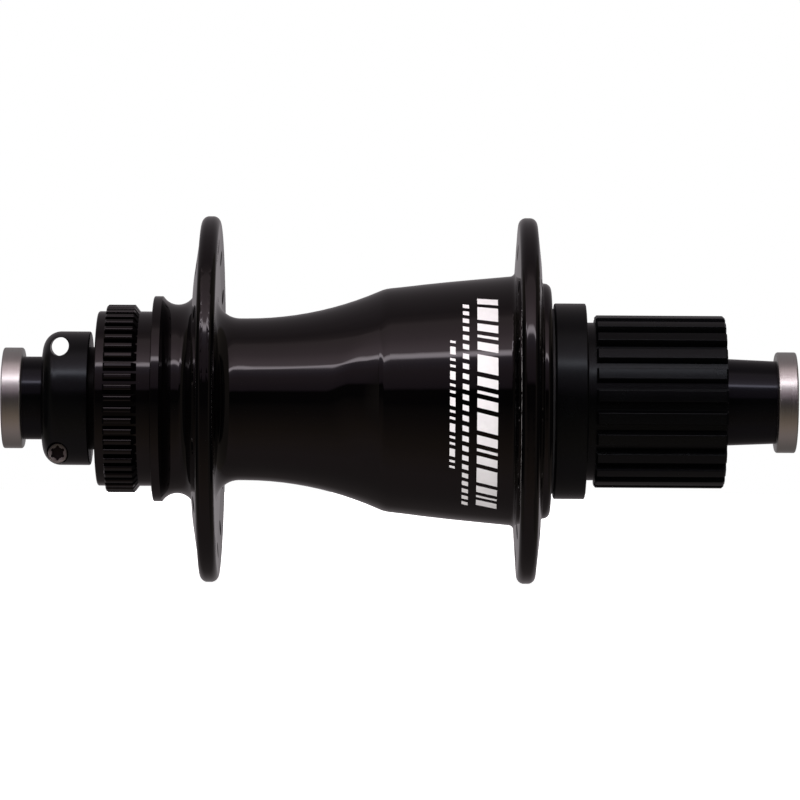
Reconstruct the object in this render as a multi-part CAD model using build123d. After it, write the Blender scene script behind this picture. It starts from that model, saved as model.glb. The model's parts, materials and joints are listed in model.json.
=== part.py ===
from build123d import *
import math
import os

os.makedirs("parts", exist_ok=True)

# A bicycle rear hub. The axle lies along Y: +Y is the brake side and -Y the drive side.
# The origin is the middle of the hub on the axle's centre line. Lengths are in millimetres.
# Outlines give the place along the axle first and the radius second.

# ---- driving dimensions -------------------------------------------------------------------

HUB_HALF_WIDTH = 74.0          # half of the 148 mm between the dropouts
THRU_AXLE_R = 6.05             # bore for a 12 mm thru-axle
END_RING_R = 9.42
END_RING_WIDTH = 3.8
NECK_R = 7.75
SPIGOT_R = 7.2
EDGE_BREAK = 0.3               # small rounding on turned edges

AXLE_BORE_R = 7.0
AXLE_SEAT_R = 8.5              # seats of the 17 mm bearings
AXLE_MIDDLE_R = 9.0            # journal of the needle bearing
AXLE_SHOULDER_R = 9.6
AXLE_BRAKE_END = 66.3
AXLE_DRIVE_END = -54.4
AXLE_SEAT_END = 57.3
AXLE_SHOULDER_END = 39.5
AXLE_JOURNAL_END = -19.5
PLUG_R = 6.95
BRAKE_PLUG_END = 47.0
DRIVE_PLUG_END = -38.0
DRIVE_CAP_R = 9.6              # the drive cap's flange, tapering to its neck
DRIVE_CAP_FLANGE = 2.0
DRIVE_CAP_STEP_R = 7.4
DRIVE_CAP_TAPER_R = 8.15
DRIVE_CAP_NECK_R = 7.72
O_RING_INNER_R = 6.45
O_RING_WIDTH = 1.4
BRAKE_O_RING_Y = 54.0
DRIVE_O_RING_Y = -44.0
SPACER_R = 9.5

COLLAR_R = 12.5
COLLAR_INNER_FACE = 57.7
COLLAR_OUTER_FACE = 66.55
COLLAR_CORNER = 3.35
COLLAR_HOLE_Y = 63.2
COLLAR_HOLE_Z = 9.6
COLLAR_HOLE_R = 1.75
COLLAR_HOLE_CHAMFER = 0.25
COLLAR_BACK_BORE_R = 2.1       # the same hole, wider on its far side
COLLAR_SLIT_WIDTH = 1.2
PINCH_SCREW_Y = 63.5
PINCH_SCREW_Z = -10.2
SCREW_HEAD_R = 1.82
SCREW_WELL_R = 2.05
SCREW_SHANK_R = 1.2
SCREW_HEAD_TOP = -6.3          # along X
SCREW_HEAD_BACK = -3.6
SCREW_END = 5.0
SCREW_SOCKET_R = 1.08
SCREW_LOBE_R = 0.3
CONE_R = 9.6
SLIDING_GAP = 0.05             # between a sliding ring and what it slides on

NOSE_FACE = 56.35
NOSE_R = 16.32
ROTOR_LOCKRING_R = 15.1
ROTOR_SPLINE_COUNT = 52
ROTOR_SPLINE_TIP_R = 17.55
ROTOR_SPLINE_OUTER = 54.65
ROTOR_SPLINE_INNER = 49.45
ROTOR_SPLINE_RUNOUT = 48.5
ROTOR_TOOTH_ROOT = 1.6         # widths of a tooth
ROTOR_TOOTH_TIP = 1.0
STOP_RING_FACE = 45.9
STOP_RING_BACK = 44.25
STOP_RING_R = 19.2

FLANGE_R = 34.2
RIM_ROUNDING = 1.4
SPOKE_COUNT = 14
BRAKE_SPOKE_CIRCLE_R = 28.3
DRIVE_SPOKE_CIRCLE_R = 28.9
SPOKE_HOLE_R = 1.3
SPOKE_SINK_R = 1.5
BRAKE_SPOKE_ANGLE = -4.86      # from straight up, towards +X
DRIVE_SPOKE_ANGLE = 8.0
BRAKE_FLANGE_AT_SPOKES = (33.93, 37.54)
DRIVE_FLANGE_AT_SPOKES = (-25.94, -21.74)

WAIST_R = 15.15
FLARE_RADIUS = 62.0
BOSS_R = 22.0
BOSS_FACE = -28.15

SHELL_BORE_R = 12.6
RATCHET_BORE_R = 18.0
SHELL_WEB_R = 16.6             # the bore behind the ratchet, tapering to the shell's bore
BRAKE_BEARING = {"low": 42.5, "high": 49.5, "bore": 8.5, "outside": 14.0,
                 "land": 1.7, "ball": 1.75, "count": 11}
DRIVE_BEARING = {"low": -27.0, "high": -20.5, "bore": 15.0, "outside": 18.5,
                 "land": 1.25, "ball": 1.2, "count": 26}
DRIVER_BEARING = {"low": -54.5, "high": -49.5, "bore": 8.5, "outside": 13.0,
                  "land": 1.35, "ball": 1.2, "count": 13}
BALL_CLEARANCE = 0.03
SNAP_RING_WIDTH = 0.8
SNAP_RING_DEPTH = 0.6

RATCHET_TEETH = 72
TOOTH_HEIGHT = 0.7
TOOTH_WIDTH = 1.1
TOOTH_INNER_R = 13.4
TOOTH_OUTER_R = 17.1
RATCHET_PLANE = -7.3           # the driven ring's face, between its teeth
RATCHET_CLEARANCE = 0.05
DRIVEN_RING_BACK = -4.0
DRIVE_RING_BACK = -12.5
SLEEVE_R = 12.0
SLEEVE_SPLINE_R = 12.65
SLEEVE_SPLINE_COUNT = 12
SLEEVE_SPLINE_WIDTH = 2.4
SLEEVE_SPLINE_LOW = -14.6
SLEEVE_END = -8.0
SPRING_WASHER_FACE = -19.0
SPRING_WASHER_BACK = -19.6
SPRING_WASHER_R = 16.2
SPRING_R = 14.9
SPRING_WIRE_R = 0.5
SPRING_TURNS = 3.5

NEEDLE_R = 0.75
NEEDLE_COUNT = 20
NEEDLE_LOW = -19.0
NEEDLE_HIGH = -9.0
NEEDLE_SLEEVE_R = 10.54
NEEDLE_SEAT_R = 11.1
NEEDLE_SEAT_END = -20.5
NEEDLE_CIRCLE_R = AXLE_MIDDLE_R + 0.02 + NEEDLE_R

DRIVER_RING_R = 18.3
DRIVER_RING_HIGH = -28.75
DRIVER_RING_LOW = -34.65
DRIVER_NECK_R = 14.75
DRIVER_SEAL_LAND_R = 15.9
DRIVER_BORE_R = 12.4
LIP_SEAL_R = 17.3
CASSETTE_SPLINE_PLACES = 24    # one place is left without a spline
CASSETTE_SPLINE_ANGLE = 3.85   # of the empty place, from +X
CASSETTE_SPLINE_ROOT = 2.9     # widths of a spline
CASSETTE_SPLINE_TIP = 1.84
CASSETTE_TIP_R = 16.125
CASSETTE_ROOT_R = 14.8
CASSETTE_HIGH = -36.35
CASSETTE_LOW = -60.55
CASSETTE_LOCKRING_R = 13.3


# ---- helpers ------------------------------------------------------------------------------

def turned(*steps, rounds=()):
    """Spin a closed outline about the axle. A step is (y, radius), or (y, radius, y, radius)
    where the last two are a point that an arc to this step goes through. rounds holds the
    corners to round, each as (y, radius, rounding)."""
    edges = []
    here = steps[-1][:2]
    for step in steps:
        there = step[:2]
        if len(step) == 4:
            edges.append(ThreePointArc(here[::-1], step[:1:-1], there[::-1]))
        else:
            edges.append(Line(here[::-1], there[::-1]))
        here = there
    face = Face(Wire(edges))
    for y, radius, rounding in rounds:
        corner = face.vertices().sort_by_distance((radius, y, 0))[0]
        face = face.fillet_2d(rounding, [corner])
    return revolve(face, Axis.Y)


def ring(low, high, inner, outer, ease=0.0):
    """A plain ring about the axle, with its two outer edges rounded by ease."""
    rounds = [(low, outer, ease), (high, outer, ease)] if ease else []
    return turned((low, inner), (low, outer), (high, outer), (high, inner), rounds=rounds)


def along_axle(flat_shape, low, high):
    """Extrude a flat shape along the axle, from low to high."""
    return Pos(0, low, 0) * Rot(X=-90) * extrude(flat_shape, high - low)


def round_the_axle(shape, count, start=0.0):
    """Copies of a shape, evenly spaced about the axle. start turns the first one, in degrees."""
    return [Rot(Y=start + step * 360 / count) * shape for step in range(count)]


def torus(y, radius, thickness):
    return Pos(0, y, 0) * Rot(X=90) * Torus(radius, thickness)


def one_solid(shape):
    """The single solid of a shape that booleans may have left inside a compound."""
    return shape.solids()[0] if len(shape.solids()) == 1 else shape


def save(name, shape):
    export_step(one_solid(shape), f"parts/{name}.step")


def as_group(solids):
    return Compound(children=solids)


# ---- axle, end caps and preload -----------------------------------------------------------

def axle():
    return turned(
        (AXLE_BRAKE_END, AXLE_BORE_R),
        (AXLE_BRAKE_END, NECK_R),
        (AXLE_SEAT_END, NECK_R),
        (AXLE_SEAT_END, AXLE_SEAT_R),
        (BRAKE_BEARING["low"], AXLE_SEAT_R),
        (BRAKE_BEARING["low"], AXLE_SHOULDER_R),
        (AXLE_SHOULDER_END, AXLE_SHOULDER_R),
        (AXLE_SHOULDER_END - AXLE_SHOULDER_R + AXLE_MIDDLE_R, AXLE_MIDDLE_R),
        (AXLE_JOURNAL_END, AXLE_MIDDLE_R),
        (AXLE_JOURNAL_END, AXLE_SEAT_R),
        (AXLE_DRIVE_END, AXLE_SEAT_R),
        (AXLE_DRIVE_END, AXLE_BORE_R),
    )


def o_ring(y):
    return ring(y, y + O_RING_WIDTH, O_RING_INNER_R, AXLE_BORE_R, ease=0.2)


def o_ring_groove(y):
    return ring(y, y + O_RING_WIDTH, O_RING_INNER_R, PLUG_R + 1)


def brake_end_cap():
    ring_face = HUB_HALF_WIDTH - END_RING_WIDTH
    cap = turned(
        (BRAKE_PLUG_END, THRU_AXLE_R),
        (BRAKE_PLUG_END, PLUG_R),
        (AXLE_BRAKE_END, PLUG_R),
        (AXLE_BRAKE_END, NECK_R),
        (ring_face, NECK_R),
        (ring_face, SPIGOT_R),
        (HUB_HALF_WIDTH, SPIGOT_R),
        (HUB_HALF_WIDTH, THRU_AXLE_R),
        rounds=[(HUB_HALF_WIDTH, THRU_AXLE_R, EDGE_BREAK)],
    )
    return cap - o_ring_groove(BRAKE_O_RING_Y)


def drive_end_cap():
    ring_face = END_RING_WIDTH - HUB_HALF_WIDTH
    shoulder = DRIVER_BEARING["low"]
    flange_end = shoulder - DRIVE_CAP_FLANGE
    taper_end = CASSETTE_LOW + 0.6
    cap = turned(
        (DRIVE_PLUG_END, THRU_AXLE_R),
        (DRIVE_PLUG_END, PLUG_R),
        (AXLE_DRIVE_END, PLUG_R),
        (AXLE_DRIVE_END, DRIVE_CAP_STEP_R),
        (shoulder, DRIVE_CAP_STEP_R),
        (shoulder, DRIVE_CAP_R),
        (flange_end, DRIVE_CAP_R),
        (taper_end, DRIVE_CAP_TAPER_R),
        (ring_face, DRIVE_CAP_NECK_R),
        (ring_face, SPIGOT_R),
        (-HUB_HALF_WIDTH, SPIGOT_R),
        (-HUB_HALF_WIDTH, THRU_AXLE_R),
        rounds=[(flange_end, DRIVE_CAP_R, EDGE_BREAK), (taper_end, DRIVE_CAP_TAPER_R, 2.0),
                (-HUB_HALF_WIDTH, THRU_AXLE_R, EDGE_BREAK)],
    )
    return cap - o_ring_groove(DRIVE_O_RING_Y)


def end_ring(side):
    """The bare metal ring that bears on the dropout: side is 1 on the brake side, -1 opposite."""
    outer_face = side * HUB_HALF_WIDTH
    inner_face = side * (HUB_HALF_WIDTH - END_RING_WIDTH)
    return turned(
        (outer_face, SPIGOT_R),
        (outer_face, END_RING_R),
        (inner_face, END_RING_R),
        (inner_face, SPIGOT_R),
        rounds=[(outer_face, END_RING_R, 0.35), (inner_face, END_RING_R, 0.5)],
    )


def driver_spacer():
    return ring(DRIVER_BEARING["high"], AXLE_JOURNAL_END, AXLE_SEAT_R, SPACER_R)


def adjusting_cone():
    return ring(BRAKE_BEARING["high"], COLLAR_INNER_FACE, AXLE_SEAT_R + SLIDING_GAP, CONE_R)


def across(y, z, radius, low, high):
    """A round bar along X from low to high."""
    return Pos((low + high) / 2, y, z) * Rot(Y=90) * Cylinder(radius, high - low)


def preload_collar():
    inner_r = NECK_R + SLIDING_GAP
    collar = turned(
        (COLLAR_INNER_FACE, inner_r),
        (COLLAR_INNER_FACE, COLLAR_R),
        (COLLAR_OUTER_FACE, COLLAR_R),
        (COLLAR_OUTER_FACE, inner_r),
        rounds=[(COLLAR_INNER_FACE, COLLAR_R, EDGE_BREAK),
                (COLLAR_OUTER_FACE, COLLAR_R, COLLAR_CORNER)],
    )
    width = COLLAR_OUTER_FACE - COLLAR_INNER_FACE
    middle = (COLLAR_OUTER_FACE + COLLAR_INNER_FACE) / 2
    depth = COLLAR_R - NECK_R + 2
    slit = Pos(0, middle, -(NECK_R + COLLAR_R) / 2) * Box(COLLAR_SLIT_WIDTH, width + 1, depth)
    edge = COLLAR_R + 1
    collar -= across(COLLAR_HOLE_Y, COLLAR_HOLE_Z, COLLAR_HOLE_R, -edge, edge)
    mouth = [e for e in collar.edges() if e.geom_type == GeomType.BSPLINE and e.center().X < -3]
    collar = chamfer(mouth, COLLAR_HOLE_CHAMFER)
    back_bore = across(COLLAR_HOLE_Y + 0.6, COLLAR_HOLE_Z + 0.3, COLLAR_BACK_BORE_R, -2.2, edge)
    well = across(PINCH_SCREW_Y, PINCH_SCREW_Z, SCREW_WELL_R, -edge, SCREW_HEAD_BACK)
    shank_hole = across(PINCH_SCREW_Y, PINCH_SCREW_Z, SCREW_SHANK_R, SCREW_HEAD_BACK, SCREW_END)
    return collar - slit - back_bore - well - shank_hole


def pinch_screw():
    head = across(PINCH_SCREW_Y, PINCH_SCREW_Z, SCREW_HEAD_R, SCREW_HEAD_TOP, SCREW_HEAD_BACK)
    head = fillet(head.edges().group_by(Axis.X)[0], 0.2)
    shank = across(PINCH_SCREW_Y, PINCH_SCREW_Z, SCREW_SHANK_R, SCREW_HEAD_BACK, SCREW_END)
    lobe = Pos(SCREW_SOCKET_R, 0) * Circle(SCREW_LOBE_R)
    star = Circle(SCREW_SOCKET_R) + [Rot(Z=60 * k) * lobe for k in range(6)]
    socket = Pos(SCREW_HEAD_TOP, PINCH_SCREW_Y, PINCH_SCREW_Z) * Rot(Y=90) * extrude(star, 1.5)
    return head + shank - socket


# ---- ball bearings ------------------------------------------------------------------------

def bearing_middle(bearing):
    return (bearing["low"] + bearing["high"]) / 2


def pitch_radius(bearing):
    return (bearing["bore"] + bearing["outside"]) / 2


def ball_track(bearing):
    return torus(bearing_middle(bearing), pitch_radius(bearing), bearing["ball"] + BALL_CLEARANCE)


def inner_race(bearing):
    outer = bearing["bore"] + bearing["land"]
    return ring(bearing["low"], bearing["high"], bearing["bore"], outer) - ball_track(bearing)


def outer_race(bearing):
    inner = bearing["outside"] - bearing["land"]
    return ring(bearing["low"], bearing["high"], inner, bearing["outside"]) - ball_track(bearing)


def ball_at(bearing, radius):
    return Pos(0, bearing_middle(bearing), pitch_radius(bearing)) * Sphere(radius)


def balls(bearing):
    return as_group(round_the_axle(ball_at(bearing, bearing["ball"]), bearing["count"]))


def ball_retainer(bearing):
    middle = bearing_middle(bearing)
    pitch = pitch_radius(bearing)
    reach = bearing["ball"] * 1.25
    band = ring(middle - reach, middle + reach, pitch - 0.3, pitch + 0.3)
    pocket = ball_at(bearing, bearing["ball"] + BALL_CLEARANCE)
    return band - round_the_axle(pocket, bearing["count"])


def bearing_seal(bearing, side):
    """The shield that closes a bearing on one side: it is held by the outer race."""
    inner = bearing["bore"] + bearing["land"] + 0.08
    outer = bearing["outside"] - bearing["land"]
    face = bearing["high"] - 0.15 if side > 0 else bearing["low"] + 0.15
    low, high = sorted((face, face - side * 0.45))
    return ring(low, high, inner, outer)


def snap_ring(bearing, side):
    """A C-shaped ring in the housing's groove, against a bearing's outer face."""
    face = bearing["high"] if side > 0 else bearing["low"]
    low, high = sorted((face, face + side * SNAP_RING_WIDTH))
    outer = bearing["outside"] + SNAP_RING_DEPTH
    inner = bearing["outside"] - 1.3
    gap = Pos(0, (low + high) / 2, -(inner + outer) / 2) * Box(3.0, 4.0, outer - inner + 2)
    return ring(low, high, inner, outer) - gap


# ---- hub shell ----------------------------------------------------------------------------

def rotor_splines():
    """Straight round-topped teeth about the nose: they run out in a slope on the inner end."""
    root = NOSE_R - 0.3
    tooth = Polygon((root, -ROTOR_TOOTH_ROOT / 2), (ROTOR_SPLINE_TIP_R, -ROTOR_TOOTH_TIP / 2),
                    (ROTOR_SPLINE_TIP_R, ROTOR_TOOTH_TIP / 2), (root, ROTOR_TOOTH_ROOT / 2),
                    align=None)
    tooth = fillet(tooth.vertices().group_by(Axis.X)[-1], 0.4)
    teeth = [Rot(Z=k * 360 / ROTOR_SPLINE_COUNT) * tooth for k in range(ROTOR_SPLINE_COUNT)]
    toothed = along_axle(Circle(NOSE_R - 0.1) + teeth, ROTOR_SPLINE_RUNOUT, ROTOR_SPLINE_OUTER)
    above = 0.3
    height = ROTOR_SPLINE_TIP_R - NOSE_R
    slope = (ROTOR_SPLINE_INNER - ROTOR_SPLINE_RUNOUT) / height
    envelope = turned(
        (ROTOR_SPLINE_RUNOUT, NOSE_R - 0.5),
        (ROTOR_SPLINE_RUNOUT, NOSE_R),
        (ROTOR_SPLINE_INNER + slope * above, ROTOR_SPLINE_TIP_R + above),
        (ROTOR_SPLINE_OUTER - 2 * above, ROTOR_SPLINE_TIP_R + above),
        (ROTOR_SPLINE_OUTER, ROTOR_SPLINE_TIP_R - above),
        (ROTOR_SPLINE_OUTER, NOSE_R - 0.5),
    )
    return envelope & toothed


def spoke_hole(circle_r, low, high):
    """A straight hole through a flange, countersunk on both faces."""
    sink = SPOKE_SINK_R - SPOKE_HOLE_R
    beyond = 1.0
    cutter = turned(
        (low - beyond, 0),
        (low - beyond, SPOKE_SINK_R + beyond),
        (low + sink, SPOKE_HOLE_R),
        (high - sink, SPOKE_HOLE_R),
        (high + beyond, SPOKE_SINK_R + beyond),
        (high + beyond, 0),
    )
    return Pos(0, 0, circle_r) * cutter


def hub_shell():
    seat = BRAKE_BEARING["high"]
    mouth = DRIVE_BEARING["low"]
    brake_seat_r = BRAKE_BEARING["outside"]
    drive_seat_r = DRIVE_BEARING["outside"]
    body = turned(
        # outside, from the nose to the drive side
        (NOSE_FACE, ROTOR_LOCKRING_R),
        (NOSE_FACE, NOSE_R),
        (STOP_RING_FACE, NOSE_R),
        (STOP_RING_FACE, STOP_RING_R),
        (STOP_RING_BACK, STOP_RING_R),
        (38.65, 19.2, 41.35, 17.65),
        (38.25, 24.0),
        (37.1, 31.6),
        (37.0, FLANGE_R),
        (33.5, FLANGE_R),
        (34.1, 26.0),
        (34.25, WAIST_R),
        (15.8, WAIST_R),
        (2.85, 20.82),
        (-8.0, 22.1),
        (-21.35, 23.35),
        (-22.1, FLANGE_R),
        (-25.35, FLANGE_R),
        (-26.15, 27.0),
        (-26.4, BOSS_R),
        (BOSS_FACE, BOSS_R),
        # inside, back to the nose
        (BOSS_FACE, drive_seat_r),
        (mouth - SNAP_RING_WIDTH, drive_seat_r),
        (mouth - SNAP_RING_WIDTH, drive_seat_r + SNAP_RING_DEPTH),
        (mouth, drive_seat_r + SNAP_RING_DEPTH),
        (mouth, drive_seat_r),
        (DRIVE_BEARING["high"], drive_seat_r),
        (DRIVE_BEARING["high"], RATCHET_BORE_R),
        (DRIVEN_RING_BACK, RATCHET_BORE_R),
        (DRIVEN_RING_BACK, SHELL_WEB_R),
        (0.0, SHELL_WEB_R),
        (18.0, SHELL_BORE_R),
        (BRAKE_BEARING["low"], SHELL_BORE_R),
        (BRAKE_BEARING["low"], brake_seat_r),
        (seat, brake_seat_r),
        (seat, brake_seat_r + SNAP_RING_DEPTH),
        (seat + SNAP_RING_WIDTH, brake_seat_r + SNAP_RING_DEPTH),
        (seat + SNAP_RING_WIDTH, brake_seat_r),
        (seat + 1.5, brake_seat_r),
        (seat + 1.5, ROTOR_LOCKRING_R),
        rounds=[
            (NOSE_FACE, NOSE_R, 0.4),
            (STOP_RING_FACE, STOP_RING_R, 0.25),
            (STOP_RING_BACK, STOP_RING_R, 0.15),
            (37.0, FLANGE_R, RIM_ROUNDING),
            (33.5, FLANGE_R, RIM_ROUNDING),
            (34.25, WAIST_R, 4.2),
            (15.8, WAIST_R, FLARE_RADIUS),
            (2.85, 20.82, 7.0),
            (-8.0, 22.1, 300.0),
            (-21.35, 23.35, 1.0),
            (-22.1, FLANGE_R, RIM_ROUNDING),
            (-25.35, FLANGE_R, RIM_ROUNDING),
            (-26.4, BOSS_R, 0.4),
            (BOSS_FACE, BOSS_R, 1.3),
        ],
    )
    brake_hole = spoke_hole(BRAKE_SPOKE_CIRCLE_R, *BRAKE_FLANGE_AT_SPOKES)
    drive_hole = spoke_hole(DRIVE_SPOKE_CIRCLE_R, *DRIVE_FLANGE_AT_SPOKES)
    holes = round_the_axle(brake_hole, SPOKE_COUNT, BRAKE_SPOKE_ANGLE)
    holes += round_the_axle(drive_hole, SPOKE_COUNT, DRIVE_SPOKE_ANGLE)
    return body + rotor_splines() - holes


# ---- ratchet ------------------------------------------------------------------------------

def ratchet_tooth(base, tip, lean):
    """One sawtooth along a radius: its upright side is on the side that lean points to."""
    middle = (TOOTH_INNER_R + TOOTH_OUTER_R) / 2
    half = TOOTH_WIDTH / 2
    root = 0.2 * math.copysign(1, base - tip)
    flank = Polygon((-half, base + root), (-half, base), (half * lean, tip), (half, base),
                    (half, base + root), align=None)
    bar = extrude(flank, (TOOTH_OUTER_R - TOOTH_INNER_R) / 2, both=True)
    return Pos(0, 0, middle) * bar


def driven_ring():
    """The toothed ring that turns with the shell."""
    body = ring(RATCHET_PLANE, DRIVEN_RING_BACK, TOOTH_INNER_R - 0.2, RATCHET_BORE_R)
    tooth = ratchet_tooth(RATCHET_PLANE, RATCHET_PLANE - TOOTH_HEIGHT, -1)
    return body + round_the_axle(tooth, RATCHET_TEETH)


def sleeve_splines(extra):
    """The driver's long teeth that the drive ring slides on, wider all round by extra."""
    width = SLEEVE_SPLINE_WIDTH + 2 * extra
    tip = SLEEVE_SPLINE_R + extra
    tooth = Pos((SLEEVE_R - 1 + tip) / 2, 0) * Rectangle(tip - SLEEVE_R + 1, width)
    step = 360 / SLEEVE_SPLINE_COUNT
    return [Rot(Z=k * step) * tooth for k in range(SLEEVE_SPLINE_COUNT)]


def drive_ring():
    """The toothed ring that turns with the driver and slides on its splines."""
    face = RATCHET_PLANE - TOOTH_HEIGHT - RATCHET_CLEARANCE
    body = ring(DRIVE_RING_BACK, face, SLEEVE_R + 0.1, TOOTH_OUTER_R + 0.1)
    slots = along_axle(Sketch() + sleeve_splines(0.1), DRIVE_RING_BACK - 1, face + 1)
    tooth = ratchet_tooth(face, face + TOOTH_HEIGHT, 1)
    return body - slots + round_the_axle(tooth, RATCHET_TEETH)


def drive_spring():
    low = SPRING_WASHER_FACE + SPRING_WIRE_R + 0.1
    high = DRIVE_RING_BACK - SPRING_WIRE_R - 0.1
    path = Helix(pitch=(high - low) / SPRING_TURNS, height=high - low, radius=SPRING_R)
    start = Plane(origin=path @ 0, z_dir=path % 0)
    wire = sweep(start * Circle(SPRING_WIRE_R), path=path, is_frenet=True)
    return Pos(0, low, 0) * Rot(X=-90) * wire


def spring_washer():
    return ring(SPRING_WASHER_BACK, SPRING_WASHER_FACE, SLEEVE_R + SLIDING_GAP, SPRING_WASHER_R)


# ---- driver -------------------------------------------------------------------------------

def cassette_profile():
    """The outline of the cassette seat: straight splines with sloping sides, one left out."""
    root = CASSETTE_ROOT_R - 0.2
    beyond = CASSETTE_TIP_R + 0.3
    spline = Polygon((root, -CASSETTE_SPLINE_ROOT / 2), (beyond, -CASSETTE_SPLINE_TIP / 2),
                     (beyond, CASSETTE_SPLINE_TIP / 2), (root, CASSETTE_SPLINE_ROOT / 2), align=None)
    step = 360 / CASSETTE_SPLINE_PLACES
    places = [CASSETTE_SPLINE_ANGLE + k * step for k in range(1, CASSETTE_SPLINE_PLACES)]
    toothed = Circle(CASSETTE_ROOT_R) + [Rot(Z=angle) * spline for angle in places]
    outline = toothed & Circle(CASSETTE_TIP_R)
    corners = [v for v in outline.vertices() if v.center().length > CASSETTE_TIP_R - 0.1]
    return fillet(corners, 0.15)


def driver_body():
    seat_r = DRIVER_BEARING["outside"]
    outer_groove = DRIVER_BEARING["low"] - SNAP_RING_WIDTH
    inside = turned(
        (SLEEVE_END + 1, 0),
        (SLEEVE_END + 1, NEEDLE_SEAT_R),
        (NEEDLE_SEAT_END, NEEDLE_SEAT_R),
        (NEEDLE_SEAT_END - DRIVER_BORE_R + NEEDLE_SEAT_R, DRIVER_BORE_R),
        (DRIVER_BEARING["high"], DRIVER_BORE_R),
        (DRIVER_BEARING["high"], seat_r),
        (DRIVER_BEARING["low"], seat_r),
        (DRIVER_BEARING["low"], seat_r + SNAP_RING_DEPTH),
        (outer_groove, seat_r + SNAP_RING_DEPTH),
        (outer_groove, seat_r),
        (outer_groove - 0.6, seat_r),
        (outer_groove - 0.6, CASSETTE_LOCKRING_R),
        (CASSETTE_LOW - 1, CASSETTE_LOCKRING_R),
        (CASSETTE_LOW - 1, 0),
    )
    inboard = turned(
        (SLEEVE_END, 0),
        (SLEEVE_END, SLEEVE_R),
        (SPRING_WASHER_BACK, SLEEVE_R),
        (SPRING_WASHER_BACK, DRIVE_BEARING["bore"]),
        (DRIVE_BEARING["low"], DRIVE_BEARING["bore"]),
        (DRIVE_BEARING["low"], DRIVER_SEAL_LAND_R),
        (DRIVER_RING_HIGH, DRIVER_SEAL_LAND_R),
        (DRIVER_RING_HIGH, DRIVER_RING_R),
        (DRIVER_RING_LOW, DRIVER_RING_R),
        (DRIVER_RING_LOW, DRIVER_NECK_R),
        (CASSETTE_HIGH - 1, DRIVER_NECK_R),
        (CASSETTE_HIGH - 1, 0),
        rounds=[(DRIVER_RING_HIGH, DRIVER_RING_R, EDGE_BREAK),
                (DRIVER_RING_LOW, DRIVER_RING_R, EDGE_BREAK),
                (DRIVER_RING_LOW, DRIVER_NECK_R, 0.4)],
    )
    sleeve_teeth = along_axle(Sketch() + sleeve_splines(0.0), SLEEVE_SPLINE_LOW, SLEEVE_END)
    seat = along_axle(cassette_profile(), CASSETTE_LOW, CASSETTE_HIGH)
    bevel = 0.35
    above = 0.2
    ends = turned(
        (CASSETTE_LOW, 0),
        (CASSETTE_LOW, CASSETTE_TIP_R - bevel),
        (CASSETTE_LOW + bevel + above, CASSETTE_TIP_R + above),
        (CASSETTE_HIGH - bevel - above, CASSETTE_TIP_R + above),
        (CASSETTE_HIGH, CASSETTE_TIP_R - bevel),
        (CASSETTE_HIGH, 0),
    )
    return inboard + sleeve_teeth + (seat & ends) - inside


def driver_lip_seal():
    return ring(DRIVER_RING_HIGH + 0.1, BOSS_FACE + 0.2, DRIVER_SEAL_LAND_R, LIP_SEAL_R)


def needle_bearing_sleeve():
    return ring(NEEDLE_LOW, NEEDLE_HIGH, NEEDLE_SLEEVE_R, NEEDLE_SEAT_R)


def needle(radius, ends):
    """A roller beside the axle, or the pocket for one, stopping short of the sleeve by ends."""
    roller = along_axle(Circle(radius), NEEDLE_LOW + ends, NEEDLE_HIGH - ends)
    return Pos(0, 0, NEEDLE_CIRCLE_R) * roller


def needle_rollers():
    return as_group(round_the_axle(needle(NEEDLE_R, 0.9), NEEDLE_COUNT))


def needle_cage():
    band = ring(NEEDLE_LOW + 0.3, NEEDLE_HIGH - 0.3, NEEDLE_CIRCLE_R - 0.4, NEEDLE_CIRCLE_R + 0.4)
    return band - round_the_axle(needle(NEEDLE_R + 0.04, 0.86), NEEDLE_COUNT)


# ---- the pieces ---------------------------------------------------------------------------

save("axle", axle())
save("brake_end_cap", brake_end_cap())
save("brake_end_ring", end_ring(1))
save("brake_cap_o_ring", o_ring(BRAKE_O_RING_Y))
save("drive_end_cap", drive_end_cap())
save("drive_end_ring", end_ring(-1))
save("drive_cap_o_ring", o_ring(DRIVE_O_RING_Y))
save("driver_spacer", driver_spacer())
save("adjusting_cone", adjusting_cone())
save("preload_collar", preload_collar())
save("pinch_screw", pinch_screw())

for name, bearing, side in (("brake", BRAKE_BEARING, 1), ("drive", DRIVE_BEARING, -1),
                            ("driver", DRIVER_BEARING, -1)):
    save(f"{name}_bearing_inner_race", inner_race(bearing))
    save(f"{name}_bearing_outer_race", outer_race(bearing))
    save(f"{name}_bearing_balls", balls(bearing))
    save(f"{name}_bearing_retainer", ball_retainer(bearing))
    save(f"{name}_bearing_seal", bearing_seal(bearing, side))
    save(f"{name}_bearing_snap_ring", snap_ring(bearing, side))

save("hub_shell", hub_shell())
save("driven_ring", driven_ring())
save("drive_ring", drive_ring())
save("drive_spring", drive_spring())
save("spring_washer", spring_washer())
save("driver_body", driver_body())
save("driver_lip_seal", driver_lip_seal())
save("needle_bearing_sleeve", needle_bearing_sleeve())
save("needle_rollers", needle_rollers())
save("needle_cage", needle_cage())
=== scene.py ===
import json
import math

import bmesh
import bpy
from mathutils import Matrix, Vector
from mathutils.bvhtree import BVHTree


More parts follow.
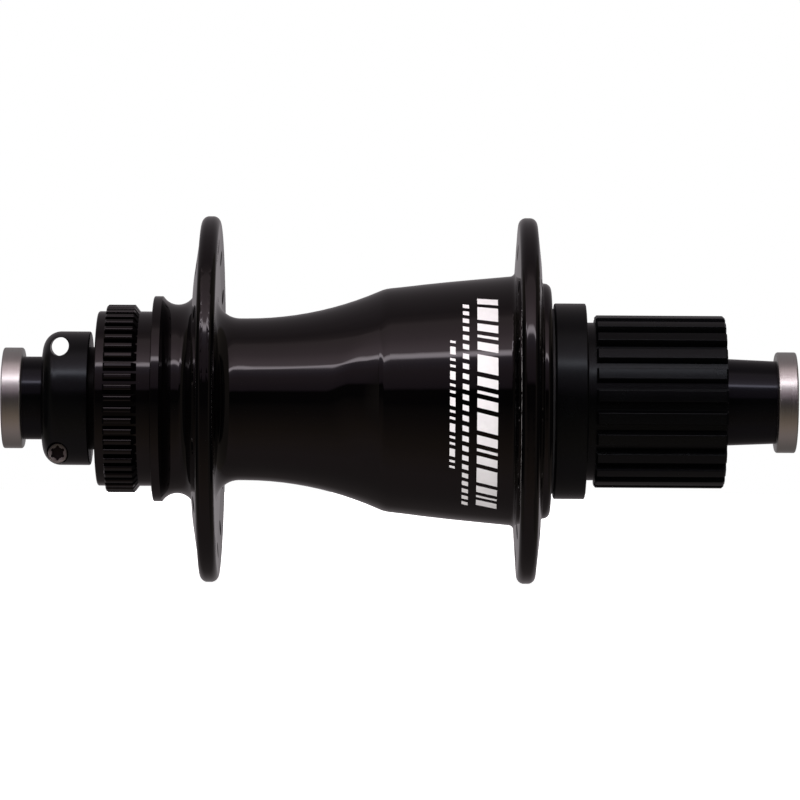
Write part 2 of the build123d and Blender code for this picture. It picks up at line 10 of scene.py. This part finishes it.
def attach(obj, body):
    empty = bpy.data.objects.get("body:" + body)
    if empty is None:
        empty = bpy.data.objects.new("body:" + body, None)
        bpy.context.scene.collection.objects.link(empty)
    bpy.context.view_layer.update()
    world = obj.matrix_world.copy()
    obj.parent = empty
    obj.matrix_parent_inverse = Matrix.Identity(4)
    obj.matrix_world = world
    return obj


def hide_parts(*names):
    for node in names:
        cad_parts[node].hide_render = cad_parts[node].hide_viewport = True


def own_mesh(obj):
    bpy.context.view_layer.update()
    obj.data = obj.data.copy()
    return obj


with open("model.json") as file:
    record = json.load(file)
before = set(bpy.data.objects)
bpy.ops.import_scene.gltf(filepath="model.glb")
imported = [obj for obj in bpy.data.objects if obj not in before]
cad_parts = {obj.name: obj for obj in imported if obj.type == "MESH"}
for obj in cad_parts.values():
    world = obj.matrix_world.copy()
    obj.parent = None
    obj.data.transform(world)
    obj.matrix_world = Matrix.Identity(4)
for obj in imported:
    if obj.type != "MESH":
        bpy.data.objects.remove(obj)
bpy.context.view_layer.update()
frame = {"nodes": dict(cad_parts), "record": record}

# A bicycle rear hub. The axle lies along Y, the brake side is +Y, the drive side is -Y and Z is up.
# Everything is in metres, in the CAD frame, unless a comment says otherwise.


# ---- node helpers ---------------------------------------------------------------------------

def noise(nodes, links, scale, detail, stretch=(1, 1, 1)):
    """A noise value in object coordinates, stretched along each axis."""
    where = nodes.new("ShaderNodeTexCoord")
    mapping = nodes.new("ShaderNodeMapping")
    mapping.inputs["Scale"].default_value = stretch
    links.new(where.outputs["Object"], mapping.inputs["Vector"])
    texture = nodes.new("ShaderNodeTexNoise")
    texture.inputs["Scale"].default_value = scale
    texture.inputs["Detail"].default_value = detail
    links.new(mapping.outputs["Vector"], texture.inputs["Vector"])
    return texture.outputs["Fac"]


def ranged(nodes, links, value, start, end, low=0.0, high=1.0, smooth=False):
    """Map a value from start-end to low-high, and hold it at low or high outside them."""
    node = nodes.new("ShaderNodeMapRange")
    if smooth:
        node.interpolation_type = "SMOOTHSTEP"
    node.inputs["From Min"].default_value = start
    node.inputs["From Max"].default_value = end
    node.inputs["To Min"].default_value = low
    node.inputs["To Max"].default_value = high
    links.new(value, node.inputs["Value"])
    return node.outputs["Result"]


def spread(nodes, links, value, low, high):
    """Map a noise value, which is mostly within 0.3-0.7, to low-high."""
    return ranged(nodes, links, value, 0.3, 0.7, low, high)


def mixed(nodes, links, factor, first, second):
    """Blend two colours, each a triple or another node's output."""
    node = nodes.new("ShaderNodeMix")
    node.data_type = "RGBA"
    links.new(factor, node.inputs["Factor"])
    for name, value in (("A", first), ("B", second)):
        if isinstance(value, tuple):
            node.inputs[name].default_value = (*value, 1)
        else:
            links.new(value, node.inputs[name])
    return node.outputs["Result"]


def calculated(nodes, links, operation, first, second=0):
    """A Math node: each operand is a number or another node's output, and some operations take one."""
    node = nodes.new("ShaderNodeMath")
    node.operation = operation
    for socket, value in zip(node.inputs, (first, second)):
        if isinstance(value, (int, float)):
            socket.default_value = value
        else:
            links.new(value, socket)
    return node.outputs[0]


def bump(nodes, links, shader, height, micrometres):
    node = nodes.new("ShaderNodeBump")
    node.inputs["Distance"].default_value = micrometres * 1e-6
    links.new(height, node.inputs["Height"])
    links.new(node.outputs["Normal"], shader.inputs["Normal"])


# ---- materials ------------------------------------------------------------------------------

# A noise is given by its scale, its detail and, if it isn't even, its stretch. A bump's depth is in
# micrometres. A large stretch along Y gives lines that run round the axle, as a lathe leaves them.
COLOR_DRIFT = (60, 3)
GLOSS_DRIFT = (180, 4)
METAL_GRAIN = (12, 3)
ROUND_LINES = (2, 400, 2)
EVEN_GRAIN = (60, 60, 60)


def new_material(name, color, metallic, roughness, mirror=0.5, mirror_tint=(1, 1, 1)):
    """A material with one Principled shader, and the three things that the makers below work with."""
    material = bpy.data.materials.new(name)
    material.use_nodes = True
    nodes, links = material.node_tree.nodes, material.node_tree.links
    shader = nodes["Principled BSDF"]
    shader.inputs["Base Color"].default_value = (*color, 1)
    shader.inputs["Metallic"].default_value = metallic
    shader.inputs["Roughness"].default_value = roughness
    shader.inputs["Specular IOR Level"].default_value = mirror
    shader.inputs["Specular Tint"].default_value = (*mirror_tint, 1)
    return material, nodes, links, shader


def anodised(name, dark, light, smooth, rough, grain, depth, mirror=0.5, mirror_tint=(1, 1, 1)):
    """Black anodised or coated aluminium: its colour and gloss drift, over fine grain or lines."""
    material, nodes, links, shader = new_material(name, dark, 0.0, rough, mirror, mirror_tint)
    drift = noise(nodes, links, *COLOR_DRIFT)
    links.new(mixed(nodes, links, drift, dark, light), shader.inputs["Base Color"])
    gloss = noise(nodes, links, *GLOSS_DRIFT)
    links.new(spread(nodes, links, gloss, smooth, rough), shader.inputs["Roughness"])
    bump(nodes, links, shader, noise(nodes, links, *grain), depth)
    return material


def bare_metal(name, dark, light, smooth, rough, stretch, depth):
    """Bare metal, whose colour, gloss and relief follow the same lines or grain."""
    material, nodes, links, shader = new_material(name, light, 1.0, rough)
    lines = noise(nodes, links, *METAL_GRAIN, stretch)
    links.new(mixed(nodes, links, lines, dark, light), shader.inputs["Base Color"])
    links.new(spread(nodes, links, lines, smooth, rough), shader.inputs["Roughness"])
    bump(nodes, links, shader, lines, depth)
    return material


def socket_screw(name, socket_shade, face, smooth, rough, face_x, deep_x):
    """A steel screw along X whose colour darkens from its face into its socket: painted shade in the
    recess.
    """
    material, nodes, links, shader = new_material(name, face, 1.0, rough)
    where = nodes.new("ShaderNodeTexCoord")
    parts = nodes.new("ShaderNodeSeparateXYZ")
    links.new(where.outputs["Object"], parts.inputs["Vector"])
    # Painted shade: the colour darkens with depth into the socket.
    depth = ranged(nodes, links, parts.outputs["X"], face_x, deep_x)
    links.new(mixed(nodes, links, depth, face, socket_shade), shader.inputs["Base Color"])
    grain = noise(nodes, links, *METAL_GRAIN, EVEN_GRAIN)
    links.new(spread(nodes, links, grain, smooth, rough), shader.inputs["Roughness"])
    bump(nodes, links, shader, grain, 8)
    return material


def mottled(name, dark, light, smooth, rough, mottle, grain, depth):
    """Rubber or ink: its colour and gloss vary together, over a fine grain."""
    material, nodes, links, shader = new_material(name, light, 0.0, rough)
    patches = noise(nodes, links, *mottle)
    links.new(mixed(nodes, links, patches, dark, light), shader.inputs["Base Color"])
    links.new(spread(nodes, links, patches, smooth, rough), shader.inputs["Roughness"])
    bump(nodes, links, shader, noise(nodes, links, *grain), depth)
    return material


MATERIALS = {
    "shell_black": anodised("shell_black_paint", (0.0005, 0.0004, 0.0005), (0.0009, 0.0007, 0.0008),
                            0.03, 0.055, (900, 2), 0.2),
    "driver_black": anodised("driver_black_anodised", (0.0006, 0.0006, 0.0007),
                             (0.0010, 0.0010, 0.0011), 0.22, 0.28, (3000, 2), 2,
                             0.25, (0.82, 0.97, 1.0)),
    "collar_black": anodised("collar_black_anodised", (0.0006, 0.0006, 0.0007),
                             (0.0010, 0.0009, 0.0010), 0.18, 0.24, (2500, 2), 1.5,
                             0.34, (0.80, 0.94, 1.0)),
    "cap_black": anodised("cap_black_anodised", (0.0005, 0.0005, 0.0006), (0.0009, 0.0009, 0.0010),
                          0.10, 0.15, (*METAL_GRAIN, ROUND_LINES), 1.5,
                          0.30, (0.78, 0.86, 1.0)),
    "end_ring_silver": bare_metal("end_ring_bare_aluminium", (0.68, 0.71, 0.67), (0.76, 0.79, 0.75),
                                  0.27, 0.34, ROUND_LINES, 1),
    "axle_silver": bare_metal("axle_bare_aluminium", (0.62, 0.62, 0.62), (0.74, 0.74, 0.75),
                              0.26, 0.36, ROUND_LINES, 4),
    "spacer_silver": bare_metal("spacer_bare_aluminium", (0.60, 0.60, 0.61), (0.70, 0.70, 0.71),
                                0.30, 0.42, ROUND_LINES, 4),
    "race_steel": bare_metal("race_ground_steel", (0.42, 0.42, 0.43), (0.52, 0.52, 0.53),
                             0.12, 0.20, ROUND_LINES, 2),
    "ball_steel": bare_metal("ball_polished_steel", (0.52, 0.52, 0.53), (0.58, 0.58, 0.59),
                             0.03, 0.06, (1, 1, 1), 0.5),
    "retainer_steel": bare_metal("retainer_pressed_steel", (0.40, 0.38, 0.34), (0.50, 0.48, 0.44),
                                 0.28, 0.40, (40, 40, 40), 3),
    "ratchet_steel": bare_metal("ratchet_hard_steel", (0.20, 0.20, 0.21), (0.30, 0.30, 0.31),
                                0.26, 0.38, EVEN_GRAIN, 4),
    "spring_steel": bare_metal("spring_drawn_steel", (0.34, 0.33, 0.32), (0.44, 0.43, 0.42),
                               0.22, 0.34, EVEN_GRAIN, 3),
    "clip_steel": bare_metal("clip_blued_steel", (0.10, 0.10, 0.12), (0.16, 0.16, 0.18),
                             0.26, 0.38, EVEN_GRAIN, 3),
    # The screw's first colour is painted shade, deep in its socket.
    "screw_steel": socket_screw("screw_plated_steel", (0.12, 0.11, 0.11), (0.84, 0.84, 0.81),
                                0.40, 0.54, face_x=-0.00628, deep_x=-0.0052),
    "seal_rubber": mottled("seal_black_rubber", (0.010, 0.010, 0.011), (0.018, 0.018, 0.019),
                           0.42, 0.60, (300, 3), (4000, 2), 10),
}
MARKING_WHITE = mottled("marking_white_ink", (0.66, 0.64, 0.64), (0.78, 0.76, 0.76),
                        0.34, 0.50, (900, 4), (5000, 2), 1)

# The adjusting cone is duller than the other pieces that share its slot: it is a shaded copy of the
# collar's black, whose weak mirror is painted shade for the shade that the collar and nose cast on it.
CONE_BLACK = anodised("cone_black_anodised", (0.0006, 0.0006, 0.0007), (0.0010, 0.0009, 0.0010),
                      0.30, 0.40, (2500, 2), 1.5, 0.08)

for subpart in frame["record"]["subparts"]:
    mesh = frame["nodes"][subpart["node"]].data
    mesh.materials.clear()
    mesh.materials.append(CONE_BLACK if subpart["node"] == "adjusting_cone"
                          else MATERIALS[subpart["material_slot"]])


# ---- spring ---------------------------------------------------------------------------------

def shortening_spring(name, node, body):
    """A spring that stands for a CAD node: a copy of its mesh that rides on a body, while the CAD node
    is hidden."""
    spring = bpy.data.objects.new(name, frame["nodes"][node].data.copy())
    bpy.context.scene.collection.objects.link(spring)
    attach(spring, body)
    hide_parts(node)
    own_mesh(spring)


shortening_spring("drive_spring_coil", "drive_spring", "driver")


# ---- markings and threads -------------------------------------------------------------------

CLEAR_OF_THE_SHELL = 0.06      # a radius outside everything
INK_SINK = 0.00006             # how far a marking reaches into the shell
INK_RISE = 0.00003             # how far it stands out of the shell
INK_COLUMNS = 2                # faces across a bar
INK_ROW = 1.5                  # degrees that a face spans round the shell, about

THREAD_PITCH = 0.001
THREAD_HEIGHT = 0.00045
THREAD_HALF_WIDTH = 0.00042
THREAD_SINK = 0.00005
THREAD_STEPS_PER_TURN = 96


def surface_finder(node):
    """Finds a CAD node's outer radius at a place along the axle and an angle, by casting a ray in."""
    surface = BVHTree.FromObject(frame["nodes"][node], bpy.context.evaluated_depsgraph_get())

    def radius_at(y, angle):
        outward = Vector((-math.cos(angle), 0, math.sin(angle)))
        start = outward * CLEAR_OF_THE_SHELL + Vector((0, y, 0))
        hit = surface.ray_cast(start, -outward)[0]
        return math.hypot(hit.x, hit.z)

    return radius_at


def mesh_piece(name, bm, material, body):
    bmesh.ops.recalc_face_normals(bm, faces=bm.faces)
    mesh = bpy.data.meshes.new(name)
    bm.to_mesh(mesh)
    bm.free()
    mesh.materials.append(material)
    piece = bpy.data.objects.new(name, mesh)
    bpy.context.scene.collection.objects.link(piece)
    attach(piece, body)


def add_patch(bm, radius_at, y0, y1, a0, a1, slant):
    """A thin closed plate laid on the shell, from y0 to y1 and from angle a0 to a1. Slant moves its
    far end round, so that it leans."""
    columns = INK_COLUMNS
    rows = max(1, round((a1 - a0) / math.radians(INK_ROW)))
    layers = []
    for height in (-INK_SINK, INK_RISE):
        grid = []
        for i in range(columns + 1):
            across = i / columns
            y = y0 + (y1 - y0) * across
            line = []
            for j in range(rows + 1):
                angle = a0 + (a1 - a0) * j / rows + slant * across
                r = radius_at(y, angle) + height
                line.append(bm.verts.new((-r * math.cos(angle), y, r * math.sin(angle))))
            grid.append(line)
        layers.append(grid)
    low, high = layers
    for i in range(columns):
        for j in range(rows):
            bm.faces.new((high[i][j], high[i][j + 1], high[i + 1][j + 1], high[i + 1][j]))
            bm.faces.new((low[i][j], low[i + 1][j], low[i + 1][j + 1], low[i][j + 1]))
    rim = [(i, 0) for i in range(columns)] + [(columns, j) for j in range(rows)]
    rim += [(i, rows) for i in range(columns, 0, -1)] + [(0, j) for j in range(rows, 0, -1)]
    for (i, j), (k, m) in zip(rim, rim[1:] + rim[:1]):
        bm.faces.new((low[i][j], high[i][j], high[k][m], low[k][m]))


def marking(name, y_middle, width, first, last, bars, gap, slant):
    """A column of leaning bars printed on the shell, from the first angle to the last. bars is a list
    of bar heights that repeats. Angles, bars, gap and slant are in degrees."""
    radius_at = surface_finder("hub_shell")
    bm = bmesh.new()
    angle = first
    index = 0
    while angle + bars[index % len(bars)] <= last:
        height = bars[index % len(bars)]
        add_patch(bm, radius_at, y_middle - width / 2, y_middle + width / 2,
                  math.radians(angle), math.radians(angle + height), math.radians(slant))
        angle += height + gap
        index += 1
    mesh_piece(name, bm, MARKING_WHITE, "shell")


def thread(name, low, high, bore_radius, body, slot):
    """A helical ridge inside a threaded mouth, from low to high along the axle."""
    turns = (high - low) / THREAD_PITCH
    steps = round(turns * THREAD_STEPS_PER_TURN)
    bm = bmesh.new()
    rings = []
    for i in range(steps + 1):
        angle = 2 * math.pi * turns * i / steps
        y = low + (high - low) * i / steps
        corners = ((bore_radius + THREAD_SINK, y - THREAD_HALF_WIDTH), (bore_radius - THREAD_HEIGHT, y),
                   (bore_radius + THREAD_SINK, y + THREAD_HALF_WIDTH))
        rings.append([bm.verts.new((r * math.sin(angle), along, r * math.cos(angle)))
                      for r, along in corners])
    for here, there in zip(rings, rings[1:]):
        for k in range(3):
            m = (k + 1) % 3
            bm.faces.new((here[k], here[m], there[m], there[k]))
    bm.faces.new(rings[0])
    bm.faces.new(rings[-1][::-1])
    mesh_piece(name, bm, MATERIALS[slot], body)


marking("marking_bold", y_middle=-0.0161, width=0.0038, first=-60, last=54,
        bars=(4.2, 1.4, 4.2, 8.4), gap=2.3, slant=2.2)
marking("marking_middle", y_middle=-0.0121, width=0.00115, first=-59, last=53,
        bars=(2.6,), gap=2.3, slant=0.8)
marking("marking_fine", y_middle=-0.0097, width=0.0010, first=-34, last=32,
        bars=(1.2, 1.2, 4.0), gap=2.0, slant=0.6)
thread("nose_thread", low=0.0516, high=0.0558, bore_radius=0.0151, body="shell", slot="shell_black")
thread("driver_thread", low=-0.0600, high=-0.0565, bore_radius=0.0133, body="driver",
       slot="driver_black")


# ---- studio ---------------------------------------------------------------------------------

# What the hub mirrors, by the angle from the camera's side up over the top, in degrees, with the
# brightness and colour there: a black camera side, a long strip light above it, a large dim panel
# overhead, a dim room behind the hub and a dim, warm floor below it.
AROUND_THE_AXLE = [
    (-180, (0.27, 0.25, 0.26)),
    (-160, (0.20, 0.18, 0.185)),
    (-140, (0.10, 0.085, 0.085)),
    (-112, (0.12, 0.10, 0.10)),
    (-80, (0.18, 0.14, 0.14)),
    (-62, (0.18, 0.135, 0.12)),
    (-44, (0.135, 0.10, 0.08)),
    (-24, (0.075, 0.058, 0.05)),
    (-9, (0.034, 0.029, 0.026)),
    (-3, (0.008, 0.008, 0.008)),
    (10, (0.008, 0.008, 0.008)),
    (13, (0.15, 0.11, 0.14)),
    (30, (0.24, 0.18, 0.21)),
    (37, (0.32, 0.26, 0.32)),
    (42, (0.55, 0.46, 0.54)),
    (44, (4.60, 4.10, 4.50)),
    (47, (4.60, 4.10, 4.40)),
    (49, (1.15, 0.92, 1.02)),
    (57, (0.90, 0.70, 0.77)),
    (65, (0.66, 0.51, 0.56)),
    (74, (0.54, 0.42, 0.45)),
    (83, (0.46, 0.365, 0.38)),
    (88, (0.25, 0.195, 0.205)),
    (96, (0.17, 0.135, 0.145)),
    (150, (0.20, 0.18, 0.19)),
    (180, (0.27, 0.25, 0.26)),
]

# Directions also lean along the axle, by an angle that is positive towards the brake side. The lights
# end at these leans, the strip light bends upwards near its brake-side end, and past ROOM_END the
# room is black. All in degrees.
LIGHTS_END_BRAKE = 44
LIGHTS_END_DRIVE = -36
STRIP_BEND_LEANS = (29, 37)
STRIP_BEND_RISE = 9
ROOM_END = 60
EDGE = 2.5                     # half the width of the stretch over which each of them fades
PAST_THE_LIGHTS = (0.10, 0.085, 0.075)
BLACK_ROOM = (0.012, 0.012, 0.012)

SOFT_LIGHT_WIDTH = 60          # degrees
FLOOR_SIZE = 1.6
FLOOR_X = 0.1                  # its middle is a little behind the hub
SENSOR_WIDTH = 36              # millimetres


def passing(nodes, links, lean, start, end):
    """0 where a lean is at start, 1 where it is at end, both in degrees, and smooth between."""
    return ranged(nodes, links, lean, math.radians(start), math.radians(end), smooth=True)


def light_ramp(nodes, links, angle):
    """The colour around the axle at an angle in radians."""
    turn = calculated(nodes, links, "DIVIDE", angle, 2 * math.pi)
    ramp = nodes.new("ShaderNodeValToRGB")
    links.new(calculated(nodes, links, "ADD", turn, 0.5), ramp.inputs["Fac"])
    stops = ramp.color_ramp.elements
    while len(stops) < len(AROUND_THE_AXLE):
        stops.new(1.0)
    for stop, (degrees, color) in zip(stops, AROUND_THE_AXLE):
        stop.position = (degrees + 180) / 360
        stop.color = (*color, 1)
    return ramp.outputs["Color"]


def make_world():
    """The camera sees plain white. The hub mirrors the lights and the room."""
    world = bpy.data.worlds.new("studio")
    bpy.context.scene.world = world
    world.use_nodes = True
    nodes, links = world.node_tree.nodes, world.node_tree.links
    nodes.clear()
    direction = nodes.new("ShaderNodeTexCoord")
    parts = nodes.new("ShaderNodeSeparateXYZ")
    links.new(direction.outputs["Generated"], parts.inputs["Vector"])
    to_camera = calculated(nodes, links, "MULTIPLY", parts.outputs["X"], -1)
    angle = calculated(nodes, links, "ARCTAN2", parts.outputs["Z"], to_camera)
    lean = calculated(nodes, links, "ARCSINE", parts.outputs["Y"])
    bend = calculated(nodes, links, "MULTIPLY", passing(nodes, links, lean, *STRIP_BEND_LEANS),
                      math.radians(STRIP_BEND_RISE))
    lights = light_ramp(nodes, links, calculated(nodes, links, "SUBTRACT", angle, bend))
    past_brake = passing(nodes, links, lean, LIGHTS_END_BRAKE - EDGE, LIGHTS_END_BRAKE + EDGE)
    past_drive = passing(nodes, links, lean, LIGHTS_END_DRIVE + EDGE, LIGHTS_END_DRIVE - EDGE)
    past_lights = calculated(nodes, links, "MAXIMUM", past_brake, past_drive)
    past_room = passing(nodes, links, calculated(nodes, links, "ABSOLUTE", lean),
                        ROOM_END - EDGE, ROOM_END + EDGE)
    room = mixed(nodes, links, past_room, PAST_THE_LIGHTS, BLACK_ROOM)
    mirrored = nodes.new("ShaderNodeBackground")
    links.new(mixed(nodes, links, past_lights, lights, room), mirrored.inputs["Color"])
    white = nodes.new("ShaderNodeBackground")
    white.inputs["Color"].default_value = (1, 1, 1, 1)
    seen = nodes.new("ShaderNodeLightPath")
    choose = nodes.new("ShaderNodeMixShader")
    links.new(seen.outputs["Is Camera Ray"], choose.inputs[0])
    links.new(mirrored.outputs[0], choose.inputs[1])
    links.new(white.outputs[0], choose.inputs[2])
    out = nodes.new("ShaderNodeOutputWorld")
    links.new(choose.outputs[0], out.inputs["Surface"])


def make_floor(height):
    """A floor that glows white, so that no shadow shows on it. The hub doesn't mirror it."""
    bpy.ops.mesh.primitive_plane_add(size=FLOOR_SIZE, location=(FLOOR_X, 0, height))
    floor = bpy.context.object
    floor.name = "floor"
    material, nodes, links, shader = new_material("floor_white", (0.8, 0.8, 0.8), 0.0, 0.9)
    shader.inputs["Emission Color"].default_value = (1, 1, 1, 1)
    shader.inputs["Emission Strength"].default_value = 1.0
    floor.data.materials.append(material)
    floor.visible_glossy = False
    floor.visible_diffuse = False
    floor.visible_shadow = False


def make_soft_light(name, elevation_degrees, strength):
    """A wide soft light on the camera's side. The hub's gloss mirrors the world instead of it."""
    data = bpy.data.lights.new(name, "SUN")
    data.energy = strength
    data.angle = math.radians(SOFT_LIGHT_WIDTH)
    light = bpy.data.objects.new(name, data)
    bpy.context.scene.collection.objects.link(light)
    light.rotation_euler = (0, math.radians(elevation_degrees - 90), 0)
    light.visible_glossy = False


def make_camera(distance, focal_length, roll_degrees, shift):
    """Side on, from -X, with the drive side to the right and a little low. The focal length is in
    millimetres and the shift in parts of the picture's width."""
    data = bpy.data.cameras.new("camera")
    data.sensor_width = SENSOR_WIDTH
    data.lens = focal_length
    data.clip_start = 0.05
    data.shift_x, data.shift_y = shift
    camera = bpy.data.objects.new("camera", data)
    bpy.context.scene.collection.objects.link(camera)
    roll = math.radians(roll_degrees)
    right = Vector((0, -math.cos(roll), math.sin(roll)))
    up = Vector((0, math.sin(roll), math.cos(roll)))
    back = Vector((-1, 0, 0))
    turn = Matrix((right, up, back)).transposed().to_4x4()
    camera.matrix_world = Matrix.Translation(back * distance) @ turn
    bpy.context.scene.camera = camera


make_world()
make_floor(height=-0.0342)
make_soft_light("upper_soft_light", elevation_degrees=50, strength=2.9)
make_soft_light("lower_soft_light", elevation_degrees=-40, strength=2.2)
make_camera(distance=0.926, focal_length=222.75, roll_degrees=0.36, shift=(0.0005, 0.0003125))
bpy.context.scene.view_settings.view_transform = "Standard"
